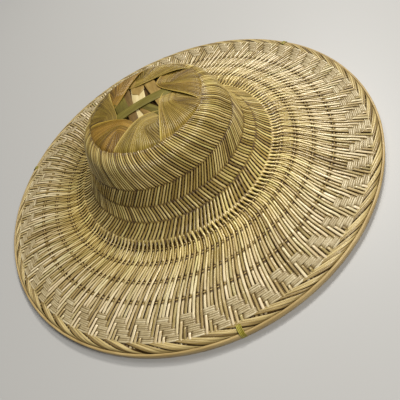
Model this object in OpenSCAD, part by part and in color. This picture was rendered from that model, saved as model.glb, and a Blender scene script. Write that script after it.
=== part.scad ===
// Wide-brimmed woven bamboo hat: a low round crown, a nearly flat brim and a hooped rim.
// Origin on the rest plane under the middle of the crown, +Z up, millimetres.

/* [Hat] */
// Outer diameter of the brim over its outer hoop
brim_d = 460; // [420:5:500]
// Height of the crown's top above the rest plane, without the crossed centre strips
crown_h = 99.5; // [95:0.5:104]
// Radius of the almost flat top of the crown
dome_r = 600; // [450:10:800]
// Slope where the flat top ends and the shoulder starts, in degrees
dome_a = 5.8; // [4:0.2:7]
// Radius of the crown's rounded shoulder
shoulder_r = 24; // [20:1:30]
// Slope of the crown's side, in degrees from level
side_a = 69; // [64:1:74]
// Straight length of the crown's side
side_len = 37; // [34:0.5:39]
// Radius of the hollow flare where the crown runs into the brim
flare_r = 42; // [36:1:48]
// Slope of the brim, in degrees from level
brim_a = 5.6; // [4:0.2:7]

/* [Weave] */
// Number of wide bamboo strips that cross at the crown's centre
strip_count = 7; // [7:1:7]
// Angle of the first strip's edge
strip_start = -162; // [-180:1:180]
// Thickness of one layer of split splints
splint_t = 0.9; // [0.7:0.05:1.1]
// Radius where the petals of the rosette start
eye_r = 12; // [10:0.5:14]
// Width of a strip where it crosses the centre
centre_w = 11; // [8:0.5:12]
// Length of a strip that shows across the centre
centre_len = 52; // [40:1:56]
// Thickness of a strip where it crosses the centre
centre_t = 0.6; // [0.5:0.05:0.8]
// Round wefts in the open part of the brim: radius of each ring
weft_r = [129.5, 144, 163, 183]; // [129:0.5:190]
// Diameter of a round weft
weft_d = 1.6; // [1.2:0.1:2]
// Inner radius of the first course of the twilled band
twill_r = 197.5; // [190:0.5:198]
// Distance from one course to the next
twill_pitch = 5.6; // [5.2:0.1:5.6]
// Flat wefts that lie side by side in one course
twill_wefts = 3; // [2:1:4]
// Gap between flat wefts
twill_gap = 0.2; // [0.1:0.05:0.4]

/* [Rim] */
// Radial thickness of the outer hoop
hoop_t = 2.6; // [2:0.1:3]
// Height of the outer hoop
hoop_h = 8; // [7:0.5:8]
// Height of the inner hoop
inner_hoop_h = 6.8; // [5:0.1:6.8]
// Radius of the brim's turned-down edge
edge_round = 4; // [3.6:0.1:4.5]
// Inner radius of the border of turned splints
border_r = 220; // [220:0.5:221.5]
// Number of lashings round the rim
tie_count = 3; // [3:1:12]
// Angle of the first lashing
tie_start = -97; // [-110:1:-80]
// Width of a lashing
tie_w = 5; // [3:0.5:6]

/* [Head ring] */
// Inner radius of the head ring
head_r = 92.5; // [88:0.5:93]
// Radial thickness of the head ring
ring_t = 2.5; // [2:0.1:2.7]
// Height of the head ring's lower edge
ring_z = 18.5; // [16:0.5:20]
// Height of the head ring
ring_h = 16; // [12:0.5:16]
// Number of lashings that hold the head ring
ring_tie_count = 8; // [6:1:12]

/* [Hidden] */
$fn = 96;

// Clearance between layers that lie on each other
gap = 0.05;
// Degrees per step along the profile's arcs
step = 7;
rim_r = brim_d / 2;
edge_r = rim_r - hoop_t;
edge_z = 1.5;
under_t0 = splint_t + gap;
under_t1 = under_t0 + splint_t;
leaf_t0 = under_t1 + gap;
leaf_t1 = leaf_t0 + 0.8;
cage_t0 = leaf_t1 + gap;
cage_t1 = cage_t0 + 1;
lining_end_r = rim_r - 9;
lining_split_r = 112;
inner_hoop_z = 0.5;
inner_hoop_r1 = edge_r - under_t1 - gap;
inner_hoop_r0 = inner_hoop_r1 - hoop_t;
border_t = 1.8;
tie_t = 0.6;
tie_notch = 0.7;
far = 2 * rim_r;

straw = "#cdb377";
pale = "#d9c795";
tan_wood = "#b8935a";

// --- Profile -------------------------------------------------------------------------------
// The hat's outer surface is a chain of tangent arcs and lines from the centre of the crown to
// the turned-down edge. Every layer is the same chain at its own depth t below that surface.

// Position after turning from slope a0 to slope a1 on an arc; a hollow arc has a negative r.
function arc_end(p, r, a0, a1) =
    [p[0] + r * (sin(a1) - sin(a0)), p[1] - r * (cos(a0) - cos(a1))];
function arc_points(p, r, a0, a1) =
    let (n = max(2, ceil(abs(a1 - a0) / step)))
    [for (i = [1:n]) arc_end(p, r, a0, a0 + (a1 - a0) * i / n)];
function last(v) = v[len(v) - 1];

brim_r0 = dome_r * sin(dome_a) + shoulder_r * (sin(side_a) - sin(dome_a))
    + side_len * cos(side_a) + flare_r * (sin(side_a) - sin(brim_a));
brim_len = (edge_r - edge_round * (1 - sin(brim_a)) - brim_r0) / cos(brim_a);

function profile(t) =
    let (
        start = [0, crown_h - t],
        dome = arc_points(start, dome_r - t, 0, dome_a),
        shoulder = arc_points(last(dome), shoulder_r - t, dome_a, side_a),
        side = last(shoulder) + side_len * [cos(side_a), -sin(side_a)],
        flare = arc_points(side, -flare_r - t, side_a, brim_a),
        brim = last(flare) + brim_len * [cos(brim_a), -sin(brim_a)],
        edge = arc_points(brim, edge_round - t, brim_a, 90),
        foot = [last(edge)[0], edge_z]
    )
    concat([start], dome, shoulder, [side], flare, [brim], edge, [foot]);

function reversed(v) = [for (i = [len(v) - 1:-1:0]) v[i]];

// Section of a layer between depths t0 and t1, kept between two radii and above a height
module layer(t0, t1, r0 = 0, r1 = far, z0 = -far)
    intersection() {
        polygon(concat(profile(t0), reversed(profile(t1))));
        translate([r0, z0]) square([r1 - r0, far - z0]);
    }

module ring_layer(t0, t1, r0 = 0, r1 = far, z0 = -far)
    rotate_extrude() layer(t0, t1, r0, r1, z0);

// One of the equal sectors of a layer, with a narrow gap to its neighbours
module sector(t0, t1, first, width)
    rotate([0, 0, first + 0.05])
        rotate_extrude(angle = width - 0.1) layer(t0, t1, eye_r);

module flat_band(r0, r1, z0, z1)
    rotate_extrude() translate([r0, z0]) square([r1 - r0, z1 - z0]);

// --- Crown and brim splints ----------------------------------------------------------------
strip_step = 360 / strip_count;

module crown_strip(i)
    color(straw) sector(0, splint_t, strip_start + strip_step * i, strip_step);

module under_strip(i)
    color("#a98a4e")
        sector(under_t0, under_t1, strip_start + strip_step * (i + 0.5), strip_step);

// Three strips cross on top of the rosette, each lying on the one before
module centre_strip(i)
    color("#b3a566")
        rotate([0, 0, 60 * (i + 1)])
            translate([-centre_len / 2, -centre_w / 2, crown_h + gap + (centre_t + gap) * i])
                cube([centre_len, centre_w, centre_t]);

// --- Wefts ---------------------------------------------------------------------------------
function brim_z(r) =
    let (p = profile(0), n = len(p), end = last(p), top = p[n - 2 - ceil((90 - brim_a) / step)])
    top[1] + (top[0] - r) * tan(brim_a);

module weft_ring(i)
    color(pale)
        rotate_extrude()
            translate([weft_r[i], brim_z(weft_r[i]) + (weft_d / 2 + gap) / cos(brim_a)])
                circle(d = weft_d, $fn = 24);

// One course of the twill: flat wefts side by side
module twill_course(i)
    color(pale)
        for (j = [0:twill_wefts - 1])
            let (pitch = twill_pitch / twill_wefts, r = twill_r + twill_pitch * i + pitch * j)
                ring_layer(-gap - 0.5, -gap, r, r + pitch - twill_gap);

// --- Rim -----------------------------------------------------------------------------------
module border()
    color("#9c7f45") ring_layer(-gap - border_t, -gap, border_r, far, hoop_h + 0.3);

module tie_places()
    for (i = [0:tie_count - 1]) rotate([0, 0, tie_start + 360 / tie_count * i]) children();

module tie_notches()
    tie_places()
        translate([inner_hoop_r0 - 2, -tie_w / 2 - 0.2, -1])
            cube([rim_r - inner_hoop_r0 + 4, tie_w + 0.4, tie_notch + 1]);

module rim_hoop_outer()
    color(tan_wood)
        difference() {
            flat_band(edge_r + gap, rim_r, 0, hoop_h);
            tie_notches();
        }

module rim_hoop_inner()
    color(tan_wood)
        difference() {
            flat_band(inner_hoop_r0, inner_hoop_r1, inner_hoop_z, inner_hoop_z + inner_hoop_h);
            tie_notches();
        }

// Section of a lashing: under both hoops, up outside, and in over the border
module tie_section() {
    top = gap + border_t + gap;
    translate([inner_hoop_r0 - tie_t - gap, gap]) square([tie_t, 5]);
    translate([inner_hoop_r0 - tie_t - gap, gap])
        square([rim_r + gap + 2 * tie_t - inner_hoop_r0 + gap, tie_t]);
    translate([rim_r + gap, gap]) square([tie_t, hoop_h + tie_t]);
    translate([edge_r + top, hoop_h + gap]) square([rim_r + gap + tie_t - edge_r - top, tie_t]);
    layer(-top - tie_t, -top, border_r - 1, far, hoop_h + gap);
}

module rim_ties()
    color("#a8952b")
        tie_places()
            rotate([0, 0, -tie_w / rim_r * 90 / PI])
                rotate_extrude(angle = tie_w / rim_r * 180 / PI) tie_section();

// --- Linings -------------------------------------------------------------------------------
module leaf_lining_crown()
    color("#6b512a") ring_layer(leaf_t0, leaf_t1, 0, lining_split_r);

module leaf_lining_brim()
    color("#6b512a") ring_layer(leaf_t0, leaf_t1, lining_split_r + gap, lining_end_r);

module inner_cage_crown()
    color("#c2a56b") ring_layer(cage_t0, cage_t1, 0, lining_split_r);

module inner_cage_brim()
    color("#c2a56b") ring_layer(cage_t0, cage_t1, lining_split_r + gap, lining_end_r);

// --- Head ring -----------------------------------------------------------------------------
module head_ring()
    color(tan_wood) flat_band(head_r, head_r + ring_t, ring_z, ring_z + ring_h);

// Short lashings that fill the space between the ring and the inner cage
module head_ring_ties()
    color("#a8952b")
        for (i = [0:ring_tie_count - 1])
            rotate([0, 0, 360 / ring_tie_count * i - 1.2])
                rotate_extrude(angle = 2.4)
                    difference() {
                        translate([head_r + ring_t + gap, ring_z + ring_h - 5])
                            square([12, 5]);
                        polygon(concat(profile(cage_t1 + gap), [[far, 0], [far, far], [0, far]]));
                    }

// --- Parts ---------------------------------------------------------------------------------
crown_strip(0);  // crown_strip_1
crown_strip(1);  // crown_strip_2
crown_strip(2);  // crown_strip_3
crown_strip(3);  // crown_strip_4
crown_strip(4);  // crown_strip_5
crown_strip(5);  // crown_strip_6
crown_strip(6);  // crown_strip_7
under_strip(0);  // under_strip_1
under_strip(1);  // under_strip_2
under_strip(2);  // under_strip_3
under_strip(3);  // under_strip_4
under_strip(4);  // under_strip_5
under_strip(5);  // under_strip_6
under_strip(6);  // under_strip_7
centre_strip(0);  // centre_strip_1
centre_strip(1);  // centre_strip_2
centre_strip(2);  // centre_strip_3
weft_ring(0);  // weft_ring_1
weft_ring(1);  // weft_ring_2
weft_ring(2);  // weft_ring_3
weft_ring(3);  // weft_ring_4
twill_course(0);  // twill_course_1
twill_course(1);  // twill_course_2
twill_course(2);  // twill_course_3
twill_course(3);  // twill_course_4
border();
rim_hoop_outer();
rim_hoop_inner();
rim_ties();
leaf_lining_crown();
leaf_lining_brim();
inner_cage_crown();
inner_cage_brim();
head_ring();
head_ring_ties();
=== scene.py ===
import bpy
import numpy as np
from mathutils import Matrix, Vector


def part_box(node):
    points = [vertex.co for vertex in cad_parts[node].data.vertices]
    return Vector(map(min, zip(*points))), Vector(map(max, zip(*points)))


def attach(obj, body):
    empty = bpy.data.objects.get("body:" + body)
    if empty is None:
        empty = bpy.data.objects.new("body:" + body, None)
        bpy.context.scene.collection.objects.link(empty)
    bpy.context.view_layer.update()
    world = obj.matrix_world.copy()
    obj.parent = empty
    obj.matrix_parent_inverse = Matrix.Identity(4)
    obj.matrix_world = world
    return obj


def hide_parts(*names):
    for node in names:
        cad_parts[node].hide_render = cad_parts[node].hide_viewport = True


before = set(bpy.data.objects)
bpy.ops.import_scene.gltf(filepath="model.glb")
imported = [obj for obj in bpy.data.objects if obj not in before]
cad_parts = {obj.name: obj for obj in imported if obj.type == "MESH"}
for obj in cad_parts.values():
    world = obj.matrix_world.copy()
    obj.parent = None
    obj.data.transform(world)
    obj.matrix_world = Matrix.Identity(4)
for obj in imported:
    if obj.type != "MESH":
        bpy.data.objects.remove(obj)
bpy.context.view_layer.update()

MM = 0.001
RNG = np.random.default_rng(7)

# --- Sizes ---------------------------------------------------------------------------------
STRIPS = 7                       # wide strips, each with a petal and a hidden end
SPLINTS = 24                     # splints that each end is split into
SET = STRIPS * SPLINTS           # splints in each of the two sets
PITCH = 2 * np.pi / SET
STRIP_START = np.radians(-140.0)

# The outer surface is the same chain of arcs and lines as in the CAD model.
RIM_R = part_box("rim_hoop_outer")[1].x / MM
HOOP_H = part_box("rim_hoop_outer")[1].z / MM
CROWN_H = max(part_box("crown_strip_%d" % (i + 1))[1].z for i in range(STRIPS)) / MM
DOME_R, DOME_A = 600.0, np.radians(5.8)
SHOULDER_R = 24.0
SIDE_A, SIDE_LEN = np.radians(69.0), 37.0
FLARE_R = 42.0
BRIM_A = np.radians(5.6)
EDGE_ROUND = 4.0
EDGE_R = RIM_R - 2.6
FOOT_LEN = 4.0

# Distances along the surface from the crown's centre
UNDER_START_S = 48.0             # the lower set starts here, hidden by the petals
SHOULDER_S = 65.0                # petals end, first zigzag band starts
ZIGZAG_S = [105.5, 126.0, 143.0, 161.5]
WEFT_S = [171.0, 186.0, 205.0, 225.0]
TWILL_S, COURSE, COURSES, FLATS = 239.5, 5.6, 4, 3
BORDER_S = TWILL_S + COURSE * COURSES
LINING_CROWN_S, LINING_BRIM_S = 152.0, 148.0     # the crown's linings end, the brim's start

SPLINT_W, SPLINT_T = 3.0, 0.95

# Heights above the surface
TOP, LOW = -0.10, -1.25          # a splint's crown where it lies on top of the other set or below
OVER, UNDER = -0.05, -1.60       # the same where it passes over or under a weft
LEAVING, DIVING = -0.35, -0.85   # the same just before and after it passes over or under one
WEFT_H = -1.32                   # the middle of a round weft
LEAF_H, LEAF_TILT = -2.62, 0.28  # a leaf's higher edge, and how much lower its other edge lies
CAGE_H, CAGE_WAVE = -3.48, 0.34  # the cage's strips, and how far they rise and fall


# --- Surface -------------------------------------------------------------------------------
def profile_parts():
    """The chain from the centre to the foot of the turned-down edge.

    Each part is its radius, or 0 for a line, its length, and its slopes at both ends.
    """
    brim_r0 = (DOME_R * np.sin(DOME_A) + SHOULDER_R * (np.sin(SIDE_A) - np.sin(DOME_A))
               + SIDE_LEN * np.cos(SIDE_A) + FLARE_R * (np.sin(SIDE_A) - np.sin(BRIM_A)))
    brim_len = (EDGE_R - EDGE_ROUND * (1 - np.sin(BRIM_A)) - brim_r0) / np.cos(BRIM_A)
    quarter = np.pi / 2
    return [
        (DOME_R, DOME_R * DOME_A, 0.0, DOME_A),
        (SHOULDER_R, SHOULDER_R * (SIDE_A - DOME_A), DOME_A, SIDE_A),
        (0.0, SIDE_LEN, SIDE_A, SIDE_A),
        (FLARE_R, FLARE_R * (SIDE_A - BRIM_A), SIDE_A, BRIM_A),
        (0.0, brim_len, BRIM_A, BRIM_A),
        (EDGE_ROUND, EDGE_ROUND * (quarter - BRIM_A), BRIM_A, quarter),
        (0.0, FOOT_LEN, quarter, quarter),
    ]


def profile_table(step=0.25):
    """Distance, radius, height and slope at even steps along the chain."""
    slopes = []
    for _, length, a0, a1 in profile_parts():
        n = max(2, int(round(length / step)))
        t = (np.arange(n) + 0.5) / n
        slopes.append(np.stack([np.full(n, length / n), a0 + (a1 - a0) * t], 1))
    slopes = np.concatenate(slopes)
    s = np.concatenate([[0], np.cumsum(slopes[:, 0])])
    r = np.concatenate([[0], np.cumsum(slopes[:, 0] * np.cos(slopes[:, 1]))])
    z = CROWN_H - np.concatenate([[0], np.cumsum(slopes[:, 0] * np.sin(slopes[:, 1]))])
    a = np.concatenate([slopes[:1, 1], (slopes[1:, 1] + slopes[:-1, 1]) / 2, slopes[-1:, 1]])
    return s, r, z, a


S_TAB, R_TAB, Z_TAB, A_TAB = profile_table()
S_END = S_TAB[-1]


def radius_at(s):
    """Radius at a distance along the surface."""
    return np.interp(s, S_TAB, R_TAB)


def length_at(r):
    """Distance along the surface at a radius, which is short of the turned-down edge."""
    return np.interp(r, R_TAB, S_TAB)


def surface(s, phi, h=0.0):
    """Points and outward normals at distance s, angle phi and height h above the surface."""
    s, phi, h = np.broadcast_arrays(np.asarray(s, float), phi, h)
    r, z, a = (np.interp(s, S_TAB, t) for t in (R_TAB, Z_TAB, A_TAB))
    n = np.stack([np.sin(a) * np.cos(phi), np.sin(a) * np.sin(phi), np.cos(a)], -1)
    p = np.stack([r * np.cos(phi), r * np.sin(phi), z], -1)
    return p + n * h[..., None], n


def on_surface(xy, h):
    """Points and normals at plan points xy and height h."""
    return surface(length_at(np.hypot(xy[..., 0], xy[..., 1])),
                   np.arctan2(xy[..., 1], xy[..., 0]), h)


def smooth(x):
    """A soft step from 0 to 1 while x goes from 0 to 1."""
    x = np.clip(x, 0, 1)
    return x * x * (3 - 2 * x)


def through(x, knots, values):
    """A soft curve through the knots, level at each: the height of a splint that weaves."""
    knots, values = np.asarray(knots, float), np.asarray(values, float)
    i = np.clip(np.searchsorted(knots, x, "right") - 1, 0, len(knots) - 2)
    t = smooth((x - knots[i]) / (knots[i + 1] - knots[i]))
    return values[i] + (values[i + 1] - values[i]) * t


def flowing(x, knots, slopes):
    """The integral of slopes given at knots, so that a splint bends softly between them."""
    fine = np.linspace(knots[0], knots[-1], 2000)
    slope = np.interp(fine, knots, slopes)
    total = np.concatenate([[0], np.cumsum((slope[1:] + slope[:-1]) / 2 * np.diff(fine))])
    return np.interp(x, fine, total)


def ring_angles(count):
    """Even angles round the hat, without the last one that meets the first."""
    return np.arange(count) * 2 * np.pi / count


# --- Meshes --------------------------------------------------------------------------------
def make_object(name, verts, faces, material, attributes, sharp=50.0):
    """A mesh object in metres; attributes give each vertex a number or a vector to paint by."""
    mesh = bpy.data.meshes.new(name)
    mesh.from_pydata((verts * MM).tolist(), [], faces)
    for key, values in attributes.items():
        kind = "FLOAT_VECTOR" if values.ndim == 2 else "FLOAT"
        layer = mesh.attributes.new(key, kind, "POINT")
        layer.data.foreach_set("vector" if values.ndim == 2 else "value",
                               values.astype(np.float32).ravel())
    mesh.polygons.foreach_set("use_smooth", [True] * len(mesh.polygons))
    mesh.set_sharp_from_angle(angle=np.radians(sharp))
    mesh.materials.append(material)
    mesh.update()
    obj = bpy.data.objects.new(name, mesh)
    bpy.context.scene.collection.objects.link(obj)
    return obj


def distances(points):
    """How far along its path each point is; points are (count, steps, 3)."""
    gaps = np.linalg.norm(np.diff(points, axis=1), axis=-1)
    return np.concatenate([np.zeros((len(points), 1)), np.cumsum(gaps, 1)], 1)


def tube_faces(count, steps, corners, closed=False):
    """Faces of tubes whose vertices come ring after ring; tubes that aren't closed get ends."""
    rings = steps if closed else steps - 1
    c, i, k = np.meshgrid(np.arange(count), np.arange(rings), np.arange(corners), indexing="ij")
    first = c * steps * corners
    here, there = first + i * corners, first + (i + 1) % steps * corners
    k1 = (k + 1) % corners
    faces = np.stack([here + k, here + k1, there + k1, there + k], -1).reshape(-1, 4).tolist()
    if not closed:
        start = (np.arange(count) * steps * corners)[:, None] + np.arange(corners)
        faces += start[:, ::-1].tolist()
        faces += (start + (steps - 1) * corners).tolist()
    return faces


def sweep(paths, normals, section, closed=False):
    """Sweeps a section along many paths at once.

    paths and normals are (count, steps, 3); section is (count, steps, corners, 2), across and up.
    Returns vertices, faces and how far along its path each vertex is.
    """
    count, steps, corners = section.shape[:3]
    if closed:
        tangent = np.roll(paths, -1, 1) - np.roll(paths, 1, 1)
    else:
        tangent = np.gradient(paths, axis=1)
    across = np.cross(tangent, normals)
    across /= np.linalg.norm(across, axis=-1, keepdims=True)
    verts = (paths[:, :, None] + across[:, :, None] * section[..., :1]
             + normals[:, :, None] * section[..., 1:])
    along = np.repeat(distances(paths)[..., None], corners, 2)
    return verts.reshape(-1, 3), tube_faces(count, steps, corners, closed), along.ravel()


def sheet_faces(rows, columns):
    """Faces of a thin closed sheet: the top's vertices row by row, then the same ones below."""
    n = rows * columns
    i, k = np.meshgrid(np.arange(rows - 1), np.arange(columns - 1), indexing="ij")
    a = i * columns + k
    top = np.stack([a, a + columns, a + columns + 1, a + 1], -1).reshape(-1, 4)
    outline = np.concatenate([
        np.arange(rows) * columns,
        (rows - 1) * columns + np.arange(1, columns),
        np.arange(rows - 2, -1, -1) * columns + columns - 1,
        np.arange(columns - 2, 0, -1)])
    following = np.roll(outline, -1)
    walls = np.stack([outline, outline + n, following + n, following], -1)
    return np.concatenate([top, top[:, ::-1] + n, walls])


def shaped_section(across, up, width, thick):
    """A strand's section from shares of its width and thickness; width is (count, steps)."""
    out = np.zeros(width.shape + (len(across), 2))
    out[..., 0] = width[..., None] * np.array(across)
    out[..., 1] = thick * np.array(up)
    return out


def splint_section(width, thick, crown=0.12):
    """A split strip: flat below, rounded above."""
    return shaped_section([-0.5, -0.38, 0.0, 0.38, 0.5, 0.40, -0.40],
                          [-0.62, -0.12, crown, -0.12, -0.62, -1.0, -1.0], width, thick)


def flat_section(width, thick):
    """A thin shaving with almost square edges."""
    return shaped_section([-0.5, -0.45, 0.0, 0.45, 0.5, 0.5, -0.5],
                          [-0.35, 0.0, 0.05, 0.0, -0.35, -1.0, -1.0], width, thick)


def wide_section(width, thick):
    """A wide strip, almost flat on top."""
    return shaped_section([-0.5, -0.47, -0.2, 0.2, 0.47, 0.5, 0.47, -0.47],
                          [-0.5, -0.1, 0.06, 0.06, -0.1, -0.5, -1.0, -1.0], width, thick)


def round_section(width, thick, sides=8):
    """A round cane, or an oval one, about its own middle."""
    a = ring_angles(sides)[::-1]
    return shaped_section(np.cos(a) / 2, np.sin(a) / 2, width, thick)


def strands(name, paths, normals, section, material, nodes=(), closed=False, tone=None,
            sharp=50.0, edge=0.0, tint=None):
    """One piece made of many strands, with the attributes that materials read.

    fibre holds the distance along the strand, the place across it and the strand's own number;
    tone is how light the strand is, with any painted shade a caller puts in it, edge how much
    painted shade darkens it along its edges, and tint how much of the material's own tint it
    takes.
    """
    count, steps, corners = section.shape[:3]
    verts, faces, along = sweep(paths, normals, section, closed)
    seeds = RNG.uniform(0, 400, count)
    if tone is None:
        tone = RNG.uniform(0, 1, count)
    tone = np.broadcast_to(tone.reshape(count, -1), (count, steps))
    per = np.repeat(seeds, steps * corners)
    side = np.abs(section[..., 0])
    side = side / side.max(-1, keepdims=True)
    # painted shade along each strand's edges, in the gaps between strands
    tones = tone[..., None] - edge * smooth((side - 0.7) / 0.3)
    attributes = {"fibre": np.stack([along + per, section[..., 0].ravel(), per], -1),
                  "tone": tones.ravel()}
    if tint is not None:
        attributes["tint"] = np.broadcast_to(tint[:, None], section.shape[:3]).ravel()
    obj = make_object(name, verts, faces, material, attributes, sharp)
    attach(obj, "root")
    if nodes:
        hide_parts(*nodes)


# --- Materials -----------------------------------------------------------------------------
MIX_FACTOR, MIX_A, MIX_B, MIX_OUT = 0, 6, 7, 2   # a Mix node's sockets when it mixes colours


def attribute(tree, key):
    """One of the attributes that the meshes carry."""
    node = tree.nodes.new("ShaderNodeAttribute")
    node.attribute_name = key
    return node


def noise(tree, place, detail, size):
    """Noise at a place that is first stretched by size."""
    stretch = tree.nodes.new("ShaderNodeVectorMath")
    stretch.operation = "MULTIPLY"
    stretch.inputs[1].default_value = size
    tree.links.new(place, stretch.inputs[0])
    node = tree.nodes.new("ShaderNodeTexNoise")
    node.inputs["Scale"].default_value = 1.0
    node.inputs["Detail"].default_value = detail
    tree.links.new(stretch.outputs[0], node.inputs["Vector"])
    return node.outputs["Fac"]


def scaled(tree, value, factor):
    """A value times a factor."""
    node = tree.nodes.new("ShaderNodeMath")
    node.operation = "MULTIPLY"
    tree.links.new(value, node.inputs[0])
    node.inputs[1].default_value = factor
    return node.outputs[0]


def plus(tree, a, b):
    """The sum of two values."""
    node = tree.nodes.new("ShaderNodeMath")
    tree.links.new(a, node.inputs[0])
    tree.links.new(b, node.inputs[1])
    return node.outputs[0]


def ranged(tree, value, before, after):
    """A value moved from one range to another, and kept inside it."""
    node = tree.nodes.new("ShaderNodeMapRange")
    node.inputs["From Min"].default_value, node.inputs["From Max"].default_value = before
    node.inputs["To Min"].default_value, node.inputs["To Max"].default_value = after
    tree.links.new(value, node.inputs["Value"])
    return node.outputs["Result"]


def tinted(tree, colour, tint, amount):
    """A colour multiplied by a tint, as far as amount says."""
    node = tree.nodes.new("ShaderNodeMix")
    node.data_type = "RGBA"
    node.blend_type = "MULTIPLY"
    tree.links.new(amount, node.inputs[MIX_FACTOR])
    tree.links.new(colour, node.inputs[MIX_A])
    node.inputs[MIX_B].default_value = (*tint, 1)
    return node.outputs[MIX_OUT]


def three_colours(tree, value, dark, mid, light):
    """A ramp from dark over mid to light."""
    ramp = tree.nodes.new("ShaderNodeValToRGB")
    stops = ramp.color_ramp.elements
    stops[0].position, stops[0].color = 0.36, (*dark, 1)
    stops[1].position, stops[1].color = 0.76, (*light, 1)
    middle = stops.new(0.55)
    middle.color = (*mid, 1)
    tree.links.new(value, ramp.inputs["Fac"])
    return ramp.outputs["Color"]


def bamboo(name, dark, mid, light, rough=0.36, grain=1.0, green=None, tint=None, bump=0.3,
           gloss=0.5):
    """Split bamboo: long fine fibres, a tone for each strand (in some pieces with painted shade in
    it), slow stains, greener patches.
    """
    mat = bpy.data.materials.new(name)
    mat.use_nodes = True
    tree = mat.node_tree
    bsdf = tree.nodes["Principled BSDF"]
    fibre = attribute(tree, "fibre").outputs["Vector"]
    tone = attribute(tree, "tone").outputs["Fac"]
    fine = noise(tree, fibre, 4.0, (0.10, 5.0 * grain, 3.1))
    stains = noise(tree, fibre, 2.0, (0.03, 0.20, 1.7))
    shade = plus(tree, plus(tree, scaled(tree, fine, 0.45), scaled(tree, stains, 0.35)),
                 scaled(tree, tone, 0.30))
    colour = three_colours(tree, shade, dark, mid, light)
    if green is not None:
        patches = noise(tree, fibre, 2.0, (0.015, 0.10, 0.9))
        colour = tinted(tree, colour, green, ranged(tree, patches, (0.45, 0.72), (0.0, 0.7)))
    if tint is not None:
        colour = tinted(tree, colour, tint, attribute(tree, "tint").outputs["Fac"])
    tree.links.new(colour, bsdf.inputs["Base Color"])
    bsdf.inputs["Specular IOR Level"].default_value = gloss
    bsdf.inputs["Specular Tint"].default_value = (1.0, 0.92, 0.76, 1)
    # hidden and stained stretches, which have a dark tone, are duller
    # stretches with a dark tone are duller: hidden ones, whose tone holds painted shade, and
    # darker strands
    dull = ranged(tree, tone, (-0.5, 0.45), (0.40, 0.0))
    grainy = ranged(tree, fine, (0.0, 1.0), (rough - 0.08, rough + 0.12))
    tree.links.new(plus(tree, grainy, dull), bsdf.inputs["Roughness"])
    relief = tree.nodes.new("ShaderNodeBump")
    relief.inputs["Strength"].default_value = bump
    relief.inputs["Distance"].default_value = 0.2 * MM
    tree.links.new(fine, relief.inputs["Height"])
    tree.links.new(relief.outputs["Normal"], bsdf.inputs["Normal"])
    return mat


STRAW = bamboo("splint", (0.070, 0.033, 0.004), (0.340, 0.229, 0.049), (0.70, 0.550, 0.220),
               rough=0.28, green=(0.80, 0.90, 0.70), tint=(1.03, 1.09, 1.8), gloss=0.8)
PETAL = bamboo("rosette", (0.050, 0.027, 0.003), (0.205, 0.138, 0.021), (0.44, 0.325, 0.082),
               rough=0.34, green=(0.80, 0.92, 0.70), tint=(1.0, 0.72, 0.45), bump=0.12,
               gloss=0.28)
GREENISH = bamboo("green_strip", (0.060, 0.046, 0.007), (0.130, 0.105, 0.016),
                  (0.24, 0.20, 0.050), rough=0.46, grain=0.6, gloss=0.15)
BROWN = bamboo("brown_strip", (0.07, 0.036, 0.007), (0.185, 0.110, 0.023), (0.34, 0.23, 0.065),
               rough=0.40, grain=0.6, gloss=0.25)
CREAM = bamboo("cream_strip", (0.36, 0.26, 0.10), (0.54, 0.44, 0.21), (0.70, 0.61, 0.36),
               rough=0.42, gloss=0.25)
WEFT = bamboo("weft", (0.10, 0.055, 0.012), (0.36, 0.250, 0.075), (0.78, 0.64, 0.33),
              rough=0.45, gloss=0.3)
FLAT = bamboo("twill_weft", (0.12, 0.070, 0.018), (0.33, 0.258, 0.128), (0.60, 0.52, 0.335),
              rough=0.30, grain=0.5, gloss=0.6, bump=0.12)
BORDER = bamboo("border", (0.075, 0.040, 0.007), (0.235, 0.158, 0.048), (0.48, 0.37, 0.155),
                rough=0.30)
HOOP = bamboo("hoop", (0.22, 0.140, 0.045), (0.35, 0.245, 0.092), (0.52, 0.39, 0.175), grain=0.7)
TIE = bamboo("tie", (0.12, 0.095, 0.006), (0.22, 0.185, 0.012), (0.36, 0.31, 0.04), rough=0.4)
LEAF = bamboo("leaf", (0.030, 0.016, 0.005), (0.075, 0.040, 0.012), (0.15, 0.09, 0.03),
              rough=0.6, grain=0.4, bump=0.5, gloss=0.05)
CAGE = bamboo("cage", (0.30, 0.20, 0.07), (0.47, 0.35, 0.14), (0.66, 0.53, 0.27))


# --- Splints -------------------------------------------------------------------------------
# Sideways drift of the upper set, in degrees for each mm outwards, at these distances
DRIFT_S = [20, 26, 30, 35, 40, 45, 50, 55, 62, 66, 105.5, 126, 143, 161.5, 171, 181, 186,
           205, 225, 240, S_END]
DRIFT_A = [-6.0, -4.3, -3.6, -2.8, -1.6, -0.95, -0.75, -0.6, -0.5, -0.46, -0.42, -0.35,
           -0.28, -0.19, -0.07, -0.05, -0.16, -0.15, -0.08, -0.04, -0.02]
# How many splints of the upper set the lower set has crossed at each of these distances
CROSS_S = [SHOULDER_S] + ZIGZAG_S + [WEFT_S[0]]
CROSSINGS = [0, 15, 21, 25, 28, 29]
# How much of its room each splint fills at these distances
SHARE_S = [SHOULDER_S, ZIGZAG_S[0], ZIGZAG_S[1], ZIGZAG_S[3], WEFT_S[0]]
SHARES = [0.82, 0.68, 0.74, 0.68, 0.45]

SWAP = 2.2                       # how far from a zigzag line the two sets start to change places
DIP = 4.0                        # how far from a weft a splint starts to bend over or under it
COVER_S = [SHOULDER_S - 9.0, SHOULDER_S + 3.5]   # splints rise here as they leave the petals
STRAY, STRAY_STEP = 0.25, 0.06   # how far a splint strays sideways, in all and from point to point
UNEVEN_H = 0.05                  # how unevenly high the splints lie
HIDDEN_H = -1.1                  # on the brim, painted shade darkens the splints below this height, where they lie hidden
END_H = -1.2                     # a splint's end, below the border


def upper_angle(s):
    """Angle of the upper set's first splint, nought at the shoulder."""
    here = flowing(s, DRIFT_S, DRIFT_A)
    return np.radians(here - flowing(SHOULDER_S, DRIFT_S, DRIFT_A))


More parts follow.
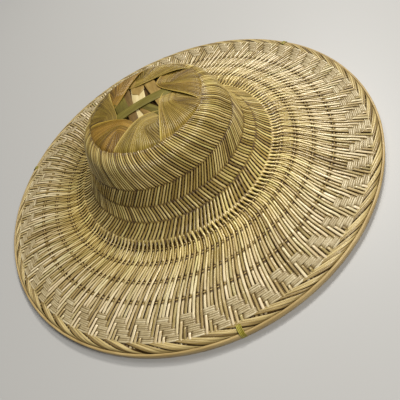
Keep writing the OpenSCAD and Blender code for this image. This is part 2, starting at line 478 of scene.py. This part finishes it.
def lower_angle(s):
    """The lower set runs the other way and crosses a whole number of splints in each band."""
    crossed = np.interp(s, CROSS_S, CROSSINGS)
    # beyond the first zigzag line its bends are half rounded off
    soft = sum(np.interp(s + d, CROSS_S, CROSSINGS) for d in (-6, -3, 0, 3, 6)) / 5
    blend = np.where(s > ZIGZAG_S[0], 0.5, 0.0)
    swirl = np.where(s < SHOULDER_S, -1, 1) * upper_angle(s)
    return swirl + PITCH * (0.5 + crossed * (1 - blend) + soft * blend)


def weave_heights(s, inner, twill_over):
    """Height along a splint; inner is true for the set that lies below in the first band.

    twill_over is one flag for each course of the twill.
    """
    on_top = not inner
    knots = [0.0] + COVER_S
    values = [LOW - 0.1, LOW - 0.1, TOP if on_top else LOW]
    for line in ZIGZAG_S:
        knots += [line - SWAP, line + SWAP]
        values += [TOP if on_top else LOW, LOW if on_top else TOP]
        on_top = not on_top
    for line in WEFT_S:
        knots += [line - DIP, line, line + DIP]
        values += [LEAVING, OVER, LEAVING] if on_top else [DIVING, UNDER, DIVING]
        on_top = not on_top
    knots.append(TWILL_S - 0.5)
    values.append(LEAVING)
    for course, over in enumerate(twill_over):
        middle = TWILL_S + COURSE * (course + 0.5)
        knots += [middle - COURSE * 0.28, middle + COURSE * 0.28]
        values += [OVER if over else UNDER] * 2
    knots += [BORDER_S + 3, S_END + 1]
    values += [END_H, END_H]
    return through(s, knots, values)


def twill_flags(index):
    """Over three, under three, moving on by one splint from one course to the next."""
    return [(index - course) % 6 < 3 for course in range(COURSES)]


def splint_steps(start):
    """Distances of a splint's points, closer together where it bends more."""
    return np.concatenate([
        np.arange(start, SHOULDER_S, 2.2),
        np.arange(SHOULDER_S, 165, 1.9),
        np.arange(165, TWILL_S, 1.5),
        np.arange(TWILL_S, BORDER_S, 1.4),
        [BORDER_S, BORDER_S + 2, BORDER_S + 4],
    ])


def crowding(s, phi):
    """Distance between neighbouring splints of one set, square to them."""
    r = radius_at(s)
    drift = np.gradient(phi, s) * r
    return PITCH * r / np.sqrt(1 + drift ** 2)


def splint_tones(steps, h):
    """Each splint has its own tone, with painted shade below the petals and where it lies low,
    hidden under the other set or a weft.
    """
    deep = np.interp(steps, [ZIGZAG_S[2], WEFT_S[0]], [TOP, HIDDEN_H])
    shade = np.interp(steps, [ZIGZAG_S[2], WEFT_S[0]], [1.2, 3.0])
    # painted shade where the splint lies low under the other set or a weft
    tone = RNG.uniform(0.35, 1.15, (len(h), 1)) + np.clip((h - deep) * shade, -1.5, 0)
    # painted shade below the petals and just past the shoulder
    return tone - 0.35 * (1 - smooth((steps - SHOULDER_S) / 7))


def splint_fan(name, node, strip, steps, drift, inner, number):
    """The splints of one strip end; number is the first one's place in the twill."""
    index = np.arange(SPLINTS)
    base = STRIP_START + 2 * np.pi / STRIPS * strip
    stray = np.cumsum(RNG.normal(0, STRAY_STEP, (SPLINTS, len(steps))), 1)
    stray = np.clip(stray - stray.mean(1, keepdims=True), -STRAY, STRAY)
    phi = base + PITCH * index[:, None] + drift + stray / radius_at(steps)
    h = np.stack([weave_heights(steps, inner, twill_flags(2 * i + number)) for i in index])
    h = h + RNG.normal(0, UNEVEN_H, (SPLINTS, 1))
    width = np.minimum(SPLINT_W, crowding(steps, drift) * np.interp(steps, SHARE_S, SHARES))
    width = width * RNG.uniform(0.93, 1.05, (SPLINTS, 1))
    points, normals = surface(steps, phi, h)
    paler = smooth((steps - WEFT_S[0]) / 60)
    strands("%s_%d" % (name, strip + 1), points, normals, splint_section(width, SPLINT_T),
            STRAW, ["%s_%d" % (node, strip + 1)], tone=splint_tones(steps, h), edge=1.2,
            tint=paler)


def build_splints():
    """Both ends of each strip, with the petal that the upper end's splints grow from."""
    upper, lower = splint_steps(SHOULDER_S - 1), splint_steps(UNDER_START_S)
    for strip in range(STRIPS):
        splint_fan("splints", "crown_strip", strip, upper, upper_angle(upper),
                   inner=True, number=0)
        splint_fan("under_splints", "under_strip", strip, lower,
                   lower_angle(lower), inner=False, number=2 * CROSSINGS[-1] + 1)
        build_petal(strip)


# --- Petals --------------------------------------------------------------------------------
# Each strip's petal, going round from the front: the angle of its raised edge on the shoulder,
# how that edge leans from straight inwards, the angle and radius of its tip, how far it turns
# inwards and then bends outwards there, how light it is and how reddish
PETALS = [
    (-138.6, -7, -111, 22.0, 21, 32, 0.65, 0.05),
    (-92.0, 21, -39, 20.6, 10, 34, 0.60, 0.20),
    (-38.0, 35, 39, 32.5, -79, 20, 0.50, 0.35),
    (15.0, 62, 69, 33.0, 11, 40, 0.60, 0.15),
    (72.0, 38, 115, 33.0, 24, 40, 0.60, 0.70),
    (116.0, 25, 156, 31.8, 24, 35, 0.45, 0.10),
    (165.5, 0, 203, 26.0, 14, 30, 0.60, 0.70),
]
ROOT_W = 16.0                    # how far a petal spreads at its tip
TAIL_LEN = 22.0                  # how far it runs on from there, under the next one
OVERLAP = 1.45                   # how far a petal reaches under the next one
PETAL_S = SHOULDER_S + 4.5       # a petal's outer end, under the tops of the splints
PETAL_T = 0.4
SPLINT_LEAN = 27.0               # how the splints lean where they leave the petals
EDGE_H, EDGE_FALL = 1.5, 2.2     # its raised edge, and how far it falls to the next petal's
TIP_H, TIP_FALL = 1.4, 1.2       # the same at its tip
ARCH_H, ARCH_SPAN = 1.3, 1.22    # the arch between, and how far across the petal that reaches
ROLL_H = 0.55                    # how far its very edge rolls up
GROOVE, GROOVE_MORE = 0.34, 0.15     # depth between two lobes, and what is added at the shoulder
OUTER_DIP, TAIL_DIP = 1.3, 1.6   # how far it dips at the shoulder and past its tip
# Points across one lobe of a petal, the first in its groove, and how deep in it they lie
LOBE_PLACES = (0.0, 0.16, 0.5, 0.84)
LOBE_DEPTHS = (1.0, 0.1, 0.0, 0.1)


def unit(degrees):
    """Plan vectors of length 1 at angles in degrees."""
    a = np.radians(degrees)
    return np.stack([np.cos(a), np.sin(a)], -1)


def bezier(p0, p1, p2, p3, t):
    """One curve for each row of the four control points."""
    t = t[None, :, None]
    return (p0[:, None] * (1 - t) ** 3 + 3 * p1[:, None] * t * (1 - t) ** 2
            + 3 * p2[:, None] * t ** 2 * (1 - t) + p3[:, None] * t ** 3)


def first_splint(strip):
    """Number of the first splint that a petal splits into, counted round the whole hat."""
    turns = strip // STRIPS
    start = np.radians(PETALS[strip % STRIPS][0]) - STRIP_START
    return int(round(start / PITCH)) + turns * SET


def petal_paths(strip, q, steps=40, tail_steps=14):
    """Plan paths across a petal: q is 0 at its raised edge and 1 where the next petal starts.

    Also returns how far each point is to the tip, t, and from there to the path's end, v.
    """
    lean, tip_angle, tip_r, turn, bend = PETALS[strip][1:6]
    after_lean = PETALS[(strip + 1) % STRIPS][1]
    number = first_splint(strip) - 0.5 + (first_splint(strip + 1) - first_splint(strip)) * q
    ring = np.degrees(STRIP_START + PITCH * number + upper_angle(PETAL_S))
    lean = lean + (after_lean - lean) * 0.6 * q
    lean = 0.65 * lean + 0.35 * SPLINT_LEAN
    tip_heading = tip_angle + 90 + turn
    out = unit(tip_heading - 90)
    p0 = radius_at(PETAL_S) * unit(ring)
    p3 = tip_r * unit(tip_angle) + ROOT_W * np.minimum(q, 1)[:, None] * out
    # the part that reaches under the next petal keeps the shape it has at that petal's edge
    hidden = q > 1
    p3[hidden] += p0[hidden] - p0[~hidden][-1]
    reach = np.linalg.norm(p3 - p0, axis=1, keepdims=True)
    p1 = p0 + unit(ring + 180 - lean) * reach * 0.36
    p2 = p3 - unit(tip_heading) * reach * 0.24
    t = np.linspace(0, 1, steps)
    # past its tip the petal bends outwards and dives under the next one
    end_heading = tip_heading - bend
    p6 = p3 + TAIL_LEN * unit(tip_heading - bend / 2)
    reach = np.linalg.norm(p6 - p3, axis=1, keepdims=True)
    p4 = p3 + unit(tip_heading) * reach * 0.33
    p5 = p6 - unit(end_heading) * reach * 0.33
    v = np.linspace(0, 1, tail_steps + 1)[1:]
    paths = np.concatenate([bezier(p0, p1, p2, p3, t), bezier(p3, p4, p5, p6, v)], 1)
    return paths, np.append(t, np.ones(tail_steps)), np.append(np.zeros(steps), v)


def petal_heights(q, t, v, lobes, in_groove):
    """Height of a petal above the surface: t and v are as petal_paths gives them."""
    at_tip = smooth((t - 0.45) / 0.5)
    inside = np.minimum(q, 1)
    raised = (EDGE_H - EDGE_FALL * inside) * (1 - at_tip) + (TIP_H - TIP_FALL * inside) * at_tip
    lift = raised * smooth(t / 0.35)
    arch = ARCH_H * np.sin(np.pi * np.clip(q / ARCH_SPAN, 0, 1)) * smooth(t / 0.3) * (1 - at_tip)
    fading = 1 - 0.8 * smooth((t - 0.6) / 0.4)
    depth = GROOVE * fading + GROOVE_MORE * (1 - smooth(t / 0.12))
    rolled = ROLL_H * np.exp(-(q * lobes / 0.8) ** 2) * smooth(t / 0.2)
    dip = OUTER_DIP * (1 - smooth(t / 0.17)) + TAIL_DIP * smooth(v)
    return TOP + lift + arch - depth * in_groove + rolled - dip


def petal_tones(q, t, lobes, in_groove, shades):
    """Tone of a petal, with painted highlight and shade: light along its raised edge, dark in the
    grooves, at its outer end and where the next petal lies over it.
    """
    # painted highlight along the raised edge
    shades = shades + 0.9 * np.exp(-(q * lobes / 0.9) ** 2)
    # painted shade in the grooves
    tones = shades - 0.75 * in_groove * (1 - 0.5 * smooth((t - 0.6) / 0.4))
    # painted shade at the outer end, under the splints, and where the next petal lies over it
    return tones - 0.3 * (1 - smooth(t / 0.10)) - 0.2 * smooth((q - 0.7) / 0.3)


def build_petal(strip):
    """A wide strip that folds in over the next one and starts to split into its splints."""
    lobes = first_splint(strip + 1) - first_splint(strip)
    reach = int(lobes * OVERLAP)
    q = np.array([i + f for i in range(reach) for f in LOBE_PLACES] + [reach]) / lobes
    in_groove = np.append(np.tile(LOBE_DEPTHS, reach), 1.0)[:, None]
    xy, t, v = petal_paths(strip, q)
    q = q[:, None]
    top, normals = on_surface(xy, petal_heights(q, t, v, lobes, in_groove))
    below = top - normals * PETAL_T
    rows, columns = top.shape[:2]
    tone, reddish = PETALS[strip][6:]
    shades = tone + np.repeat(RNG.normal(0, 0.12, reach + 1), len(LOBE_PLACES))[:rows, None]
    tones = petal_tones(q, t, lobes, in_groove, shades)
    across = np.broadcast_to(q * 50, (rows, columns))
    own_place = np.full((rows, columns), 11.0 * strip)
    fibre = np.stack([distances(top), across, own_place], -1).reshape(-1, 3)
    number = strip + 1
    piece = make_object("petal_%d" % number,
                        np.concatenate([top.reshape(-1, 3), below.reshape(-1, 3)]),
                        sheet_faces(rows, columns).tolist(), PETAL,
                        {"fibre": np.tile(fibre, (2, 1)), "tone": np.tile(tones.ravel(), 2),
                         "tint": np.full(2 * rows * columns, reddish)}, sharp=75)
    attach(piece, "root")
    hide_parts("crown_strip_%d" % number)


# --- Centre of the rosette -----------------------------------------------------------------
def crossing_strip(name, start, end, width, h, bow, material, nodes=(), tip=1.0, tone=0.5):
    """A straight strip over the crown's top between two plan points; tip narrows its far end."""
    t = np.linspace(0, 1, 28)
    xy = np.array(start) + (np.array(end) - np.array(start)) * t[:, None]
    points, normals = on_surface(xy, h + bow * np.sin(np.pi * t))
    widths = width * (1 - (1 - tip) * smooth((t - 0.72) / 0.28))
    strands(name, points[None], normals[None], wide_section(widths[None], 0.5), material,
            nodes, tone=np.array([tone]))


def build_centre():
    """The strips' middles, which cross in the open eye of the rosette."""
    crossing_strip("centre_strip_1", (-31, 1), (33, -2), 12.5, 0.1, 1.5, GREENISH,
                   ["centre_strip_1"])
    crossing_strip("centre_strip_2", (4, 38), (-10, -34), 15, -0.9, 0.4, CREAM,
                   ["centre_strip_2"])
    crossing_strip("centre_strip_3", (17.5, 40), (19, -30), 12, -0.2, 0.9, BROWN,
                   ["centre_strip_3"], tone=0.9)
    crossing_strip("crossing_1", (-3, 2.5), (14, -33), 8.5, -0.3, 0.7, GREENISH, tone=0.3)
    crossing_strip("crossing_2", (-10, 40), (-17.5, -32), 9.5, -0.3, 0.3, BROWN, tone=0.1)
    crossing_strip("crossing_3", (7, 50), (1, 17), 15, -0.5, 0.7, BROWN, tip=0.05, tone=0.8)
    crossing_strip("crossing_4", (-2, 0), (1.5, -27), 10.5, -0.3, 0.3, BROWN, tone=0.4)
    crossing_strip("crossing_5", (-21, 34), (-22, -6), 14, -0.2, 0.5, GREENISH, tone=0.2)


# --- Wefts ---------------------------------------------------------------------------------
WEFT_W, WEFT_T = 1.15, 0.85
WEFT_WAVE = 0.15                 # how far a round weft rises and falls
FLAT_W, FLAT_T = COURSE / FLATS, 0.30
FLAT_H, FLAT_WAVE = WEFT_H + 0.42, 0.75


def build_round_wefts():
    """Round wefts, each a ring that rises and falls a little between the splints."""
    points_to_a_splint = 10
    phi = ring_angles(SET * points_to_a_splint)
    for i, s0 in enumerate(WEFT_S):
        upper_over = i % 2 == 1
        phase = STRIP_START + (upper_angle(s0) if upper_over else lower_angle(np.array([s0]))[0])
        wave = np.cos(SET * (phi - phase))
        # the weft shows as a bright dot over each low splint and has painted shade beside it,
        # where the splints cover it
        seen = ((1 - wave) / 2) ** 3
        # the ring wanders a little to both sides
        s = s0 + 0.25 * np.sin(3 * phi + i) + 0.15 * np.sin(11 * phi + 2 * i)
        points, normals = surface(s, phi, WEFT_H - WEFT_WAVE * wave)
        name = "weft_ring_%d" % (i + 1)
        strands(name, points[None], normals[None],
                round_section(np.full((1, len(phi)), WEFT_W), WEFT_T), WEFT, [name],
                closed=True, tone=1.4 * seen[None] - 0.6, sharp=80)


def build_twill():
    """Courses of flat wefts that pass over three splints and under three."""
    points_to_a_splint, repeat = 8, 6
    phi = ring_angles(SET * points_to_a_splint)
    for course in range(COURSES):
        rings, norms, tones = [], [], []
        for j in range(FLATS):
            s0 = TWILL_S + COURSE * course + FLAT_W * (j + 0.5)
            lead = STRIP_START + upper_angle(s0)
            # splint numbers that lie over this course are course, course+1 and course+2
            number = (phi - lead) / (PITCH / 2) - course
            wave = np.cos((number - 1.0) * 2 * np.pi / repeat)
            square = np.clip(wave * 2.2, -1, 1)
            h = FLAT_H - FLAT_WAVE * square + RNG.normal(0, 0.02)
            s = s0 + 0.12 * np.sin(5 * phi + j * 2 + course)
            points, normals = surface(s, phi, h)
            rings.append(points)
            norms.append(normals)
            # painted shade where a flat weft goes under its three splints
            shaded = smooth((square - wave * 0.6 + 0.5) * 0.9)
            tones.append(RNG.uniform(0.5, 0.9) - shaded)
        name = "twill_course_%d" % (course + 1)
        strands(name, np.stack(rings), np.stack(norms),
                flat_section(np.full((FLATS, len(phi)), FLAT_W), FLAT_T), FLAT,
                [name], closed=True, tone=np.stack(tones), edge=0.3)


# --- Rim -----------------------------------------------------------------------------------
BUNDLES, BUNDLE_STRANDS = 56, 3
BUNDLE_RUN = 14.0                # degrees round the rim that a bundle covers
BUNDLE_GAP = np.radians(1.75)    # between neighbouring strands of a bundle
BORDER_W, BORDER_T = 2.3, 0.5
BORDER_LOW, BORDER_ARCH = -1.6, 2.1  # a strand's start, and how far it rises from there
STRAND_DROP = 0.15               # how much lower each next strand of a bundle lies
LEAN_OUT = 1.75                  # how far a strand's end leans out against the hoop
TIE_W, TIE_T = 1.1, 0.4


def build_border():
    """Splint ends in bundles, each turned along the rim and slipping in behind the hoop."""
    t = np.linspace(0, 1, 34)
    start_s, end_s = BORDER_S - 2.0, S_END - 0.4
    s = start_s + (end_s - start_s) * t ** 1.2
    rise = BORDER_LOW + BORDER_ARCH * np.sin(np.pi * np.clip(t * 1.08, 0, 1)) ** 0.6
    lean_out = LEAN_OUT * smooth((t - 0.7) / 0.25)
    width = BORDER_W * (0.45 + 0.55 * np.sin(np.pi * np.clip(t * 0.9 + 0.08, 0, 1)))
    paths, norms, tones = [], [], []
    for b in range(BUNDLES):
        start = STRIP_START + upper_angle(BORDER_S) + 2 * np.pi / BUNDLES * b
        start += RNG.normal(0, 0.004)
        for j in range(BUNDLE_STRANDS):
            run = np.radians(BUNDLE_RUN + RNG.normal(0, 0.5))
            phi = start + run * t ** 1.1 + BUNDLE_GAP * j
            points, normals = surface(s, phi, rise - STRAND_DROP * j + lean_out)
            paths.append(points)
            norms.append(normals)
            tones.append(1.2 - 0.7 * (j == 0) + RNG.normal(0, 0.2))
    widths = np.tile(width, (len(paths), 1))
    strands("border", np.stack(paths), np.stack(norms), splint_section(widths, BORDER_T),
            BORDER, ["border"], tone=np.array(tones), edge=1.1)


def hoop(name, r0, r1, z0, z1, phase, turns=1.04):
    """A flat slat bent into a ring from the angle phase on; its ends overlap there."""
    steps, bevel, bulge = 400, 0.45, 0.12
    phi = phase + np.linspace(0, 1, steps) * 2 * np.pi * turns
    # one end slips inside the other along the overlap
    lap = 2 * np.pi * (turns - 1)
    end = smooth((phi - phase - 2 * np.pi + lap * 0.2) / (lap * 0.6))
    begin = smooth((lap * 1.2 - (phi - phase)) / (lap * 0.6))
    thick = r1 - r0
    inner = r0 + thick * 0.5 * begin
    outer = r1 - thick * 0.5 * end
    uneven = 0.12 * np.sin(9 * phi) + 0.08 * np.sin(23 * phi + 1)
    corners = [(inner, z0 + bevel), (inner, z1 - bevel + uneven), (inner + bevel, z1 + uneven),
               (outer - bevel, z1 + uneven), (outer, z1 - bevel + uneven),
               (outer + bulge, (z0 + z1) / 2), (outer, z0 + bevel), (outer - bevel, z0),
               (inner + bevel, z0)]
    verts = np.stack([np.stack([r * np.cos(phi), r * np.sin(phi), z + 0 * phi], -1)
                      for r, z in corners], 1)
    n = len(corners)
    along = np.repeat(r1 * phi, n)
    across = np.tile(np.linspace(0, 9, n), steps)
    fibre = np.stack([along, across, np.full(len(along), 3.0)], -1)
    obj = make_object(name, verts.reshape(-1, 3), tube_faces(1, steps, n), HOOP,
                      {"fibre": fibre, "tone": np.full(len(along), 0.5)})
    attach(obj, "root")
    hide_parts(name)


def wrap_loop(phi, corners, offset, steps=4):
    """A closed loop of thin strip round a section at angle phi, moved along the rim by offset."""
    slant = 0.35
    corners = np.asarray(corners, float)
    following = np.roll(corners, -1, 0)
    t = np.arange(steps) / steps
    rz = (corners[:, None] + (following - corners)[:, None] * t[None, :, None]).reshape(-1, 2)
    side = np.linspace(0, 2 * np.pi, len(rz), endpoint=False)
    turn = phi + (offset + slant * np.sin(side)) / RIM_R
    points = np.stack([rz[:, 0] * np.cos(turn), rz[:, 0] * np.sin(turn), rz[:, 1]], -1)
    out = rz - rz.mean(0)
    out /= np.linalg.norm(out, axis=1, keepdims=True)
    normals = np.stack([out[:, 0] * np.cos(turn), out[:, 0] * np.sin(turn), out[:, 1]], -1)
    return points, normals


def lashings(name, degrees, corners, turns, gap):
    """Lashings at the given angles, each wound turns times round the corners, gap apart."""
    middle = (turns - 1) / 2
    loops = [wrap_loop(place, corners, (j - middle) * gap)
             for place in np.radians(degrees) for j in range(turns)]
    paths = np.stack([points for points, _ in loops])
    norms = np.stack([normals for _, normals in loops])
    width = np.full(paths.shape[:2], TIE_W)
    strands(name, paths, norms, splint_section(width, TIE_T), TIE, [name], closed=True)


def build_rim():
    """The two hoops that grip the splints' ends, and the lashings round both."""
    hoop("rim_hoop_outer", EDGE_R + 0.2, RIM_R - 0.1, 0.0, HOOP_H, phase=1.2)
    hoop("rim_hoop_inner", RIM_R - 7.1, RIM_R - 4.6, 0.5, 7.3, phase=4.0)
    # the lashings' corners, in radius and height: out below both hoops, up, and back over them
    low = 0.35
    corners = [(RIM_R - 8.6, low), (RIM_R - 4, low - 0.2), (RIM_R + 0.1, low),
               (RIM_R + 0.55, 4.0), (RIM_R + 0.1, HOOP_H + 0.3), (RIM_R - 2.5, HOOP_H + 2.4),
               (RIM_R - 5.5, HOOP_H + 3.6), (RIM_R - 8.6, HOOP_H + 3.0), (RIM_R - 9.0, 5.0)]
    lashings("rim_ties", 120.0 * np.arange(3) - 97.0, corners, 4, 1.25)


# --- Linings -------------------------------------------------------------------------------
def build_leaves(name, s0, s1, count, nodes):
    """Broad dried leaves laid like tiles, each one sheet with a slow ripple."""
    thick, overlap, ripple, step_out = 0.12, 1.25, 0.05, 1.1
    uu, ss = np.meshgrid(np.linspace(0, 1, 16), np.linspace(s0, s1, max(8, int((s1 - s0) / 4))))
    rows, columns = uu.shape
    sheet = sheet_faces(rows, columns)
    # past the brim's edge the leaves come out towards the splints, and more at the foot
    come_out = step_out * (smooth((ss - BORDER_S + 3) / 7) + smooth((ss - S_END + 5) / 4))
    verts, faces, fibre, tone = [], [], [], []
    for leaf in range(count):
        phi = 2 * np.pi / count * (leaf + uu * overlap) + RNG.normal(0, 0.01)
        h = LEAF_H - LEAF_TILT * uu + ripple * np.sin(ss * 0.12 + leaf) + come_out
        top, _ = surface(ss, phi, h)
        below, _ = surface(ss, phi, h - thick)
        verts += [top.reshape(-1, 3), below.reshape(-1, 3)]
        faces.append(sheet + leaf * 2 * rows * columns)
        place = np.stack([ss, uu * 30 + leaf * 7.3, np.full_like(ss, leaf * 3.7)], -1)
        fibre.append(np.tile(place.reshape(-1, 3), (2, 1)))
        tone.append(np.full(2 * rows * columns, RNG.uniform(0, 1)))
    obj = make_object(name, np.concatenate(verts), np.concatenate(faces).tolist(), LEAF,
                      {"fibre": np.concatenate(fibre), "tone": np.concatenate(tone)})
    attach(obj, "root")
    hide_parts(*nodes)


def build_cage(name, s0, s1, count, width, nodes):
    """An open lattice: strips that spiral both ways, each passing over and under the others."""
    step, thick = 2.5, 0.45
    s = np.linspace(s0, s1, int((s1 - s0) / step))
    spiral = np.log(radius_at(s) / radius_at(s0))
    crossings = spiral * 2 / (2 * np.pi / count)
    paths, norms = [], []
    for way in (1, -1):
        # the two ways meet each time they have turned apart by a whole number of gaps
        h = CAGE_H + CAGE_WAVE * way * np.cos(np.pi * crossings)
        for k in range(count):
            phi = 2 * np.pi / count * k + way * spiral
            points, normals = surface(s, phi, h)
            paths.append(points)
            norms.append(normals)
    widths = np.full((len(paths), len(s)), width)
    strands(name, np.stack(paths), np.stack(norms), splint_section(widths, thick, crown=0.05),
            CAGE, nodes)


def build_linings():
    """The leaves and the cage below them, in the crown and in the brim."""
    build_leaves("leaf_lining_crown", 0.6, LINING_CROWN_S, 9, ["leaf_lining_crown"])
    build_leaves("leaf_lining_brim", LINING_BRIM_S, S_END - 0.8, 22, ["leaf_lining_brim"])
    build_cage("inner_cage_crown", 26.0, LINING_CROWN_S, 18, 4.5, ["inner_cage_crown"])
    build_cage("inner_cage_brim", LINING_BRIM_S, 260.0, 36, 5.0, ["inner_cage_brim"])


def build_head_ring():
    """The slat that rests on the head, and the eight lashings that hold it to the cage."""
    box_low, box_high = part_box("head_ring")
    low, high = box_low.z / MM, box_high.z / MM
    thick = 2.4
    r0 = box_high.x / MM - 2.5
    hoop("head_ring", r0, r0 + thick, low, high, phase=2.0, turns=1.08)
    # round the ring and the cage's strips above it, in radius and height
    corners = [(r0 - 0.35, low - 0.4), (r0 + 2.8, low - 0.4), (r0 + 3.1, high - 4),
               (r0 + 5.6, high - 1), (r0 + 5.2, high + 0.6), (r0 + 1.0, high + 0.6),
               (r0 - 0.35, high + 0.2)]
    lashings("head_ring_ties", 45.0 * np.arange(8), corners, 3, 1.2)


# --- Stage ---------------------------------------------------------------------------------
def build_floor():
    """A plain pale floor, in metres."""
    half, drop = 6.0, 0.0002
    mat = bpy.data.materials.new("floor")
    mat.use_nodes = True
    bsdf = mat.node_tree.nodes["Principled BSDF"]
    bsdf.inputs["Base Color"].default_value = (0.385, 0.38, 0.365, 1)
    bsdf.inputs["Roughness"].default_value = 0.45
    mesh = bpy.data.meshes.new("floor")
    mesh.from_pydata([(-half, -half, 0), (half, -half, 0), (half, half, 0), (-half, half, 0)],
                     [], [(0, 1, 2, 3)])
    mesh.materials.append(mat)
    floor = bpy.data.objects.new("floor", mesh)
    bpy.context.scene.collection.objects.link(floor)
    floor.location.z = -drop


def area_light(name, azimuth, elevation, distance, size, power, colour):
    """A round soft light that faces the crown from a compass direction, in degrees and metres."""
    a, e = np.radians(azimuth), np.radians(elevation)
    towards = Vector((np.cos(a) * np.cos(e), np.sin(a) * np.cos(e), np.sin(e)))
    crown = Vector((0, 0, 0.04))
    light = bpy.data.lights.new(name, "AREA")
    light.shape = "DISK"
    light.size = size
    light.energy = power
    light.color = colour
    obj = bpy.data.objects.new(name, light)
    obj.location = crown + towards * distance
    obj.rotation_euler = towards.to_track_quat("Z", "Y").to_euler()
    bpy.context.scene.collection.objects.link(obj)


def build_lights():
    """Three soft lights and a dim, slightly warm surrounding."""
    world = bpy.data.worlds.new("studio")
    bpy.context.scene.world = world
    world.use_nodes = True
    background = world.node_tree.nodes["Background"]
    background.inputs["Color"].default_value = (1.0, 0.985, 0.96, 1)
    background.inputs["Strength"].default_value = 0.20
    bpy.context.scene.view_settings.view_transform = "Standard"
    area_light("key", 50, 51, 2.2, 0.4, 34, (1.0, 0.98, 0.94))
    area_light("window", 98, 64, 2.4, 0.9, 16, (1.0, 0.99, 0.97))
    area_light("side", -46, 42, 2.2, 0.5, 34, (1.0, 0.98, 0.95))


def build_camera():
    """The camera stands on the -Y side and is rolled, so the hat's right side is seen higher."""
    focal, sensor = 35.1, 36.0
    elevation, roll = np.radians(42.85), np.radians(31.0)
    distance = 2.105 * RIM_R * MM
    aim_left, aim_up = 0.0546, 0.0938    # the hat's origin lies this far off the view's middle
    back = Vector((0, -np.cos(elevation), np.sin(elevation)))
    right = Vector((1, 0, 0))
    unrolled = Matrix((right, back.cross(right), back))
    aim = Vector((-aim_left, aim_up, -1)).normalized()
    swing = Vector((0, 0, -1)).rotation_difference(aim).to_matrix()
    world_to_camera = swing @ Matrix.Rotation(roll, 3, "Z") @ unrolled
    camera = bpy.data.cameras.new("camera")
    camera.sensor_width = sensor
    camera.lens = focal
    camera.clip_start = 0.01
    obj = bpy.data.objects.new("camera", camera)
    obj.matrix_world = Matrix.Translation(back * distance) @ world_to_camera.transposed().to_4x4()
    bpy.context.scene.collection.objects.link(obj)
    bpy.context.scene.camera = obj


build_camera()
build_splints()
build_centre()
build_round_wefts()
build_twill()
build_border()
build_rim()
build_linings()
build_head_ring()
build_floor()
build_lights()
